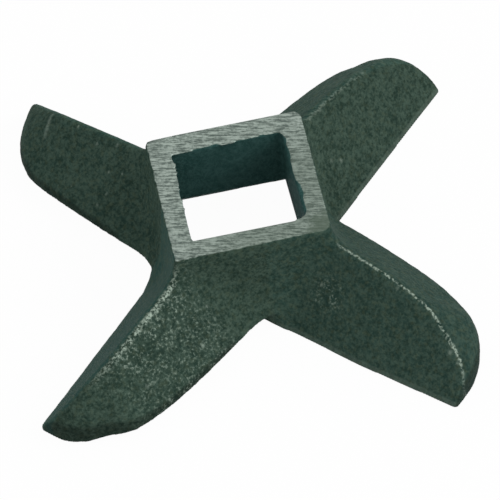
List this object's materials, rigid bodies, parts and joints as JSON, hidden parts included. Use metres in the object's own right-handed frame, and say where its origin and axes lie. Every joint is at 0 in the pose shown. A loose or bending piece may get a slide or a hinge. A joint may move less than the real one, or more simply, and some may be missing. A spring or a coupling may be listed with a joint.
{
  "type": "meat grinder knife",
  "caption": "Cross-shaped cast iron mincer knife: flat-ground cutting edges, roof-backed wings and a raised square hub with a square drive hole.",
  "frame": {"origin": "on the axis of the square drive hole, in the plane of the four cutting edges", "axes": "+Z along the drive axis, from the cutting plane to the hub's ground ring; X and Y square to the flats of the drive hole"},
  "size_m": [0.0494, 0.0494, 0.0115],
  "materials": {
    "cast_iron": "dark green-grey as-cast skin, with a bare ground ring on the hub and bare ground cutting lands"
  },
  "bodies": {
    "root": {"grinder_knife": "cast_iron"}
  },
  "joints": []
}
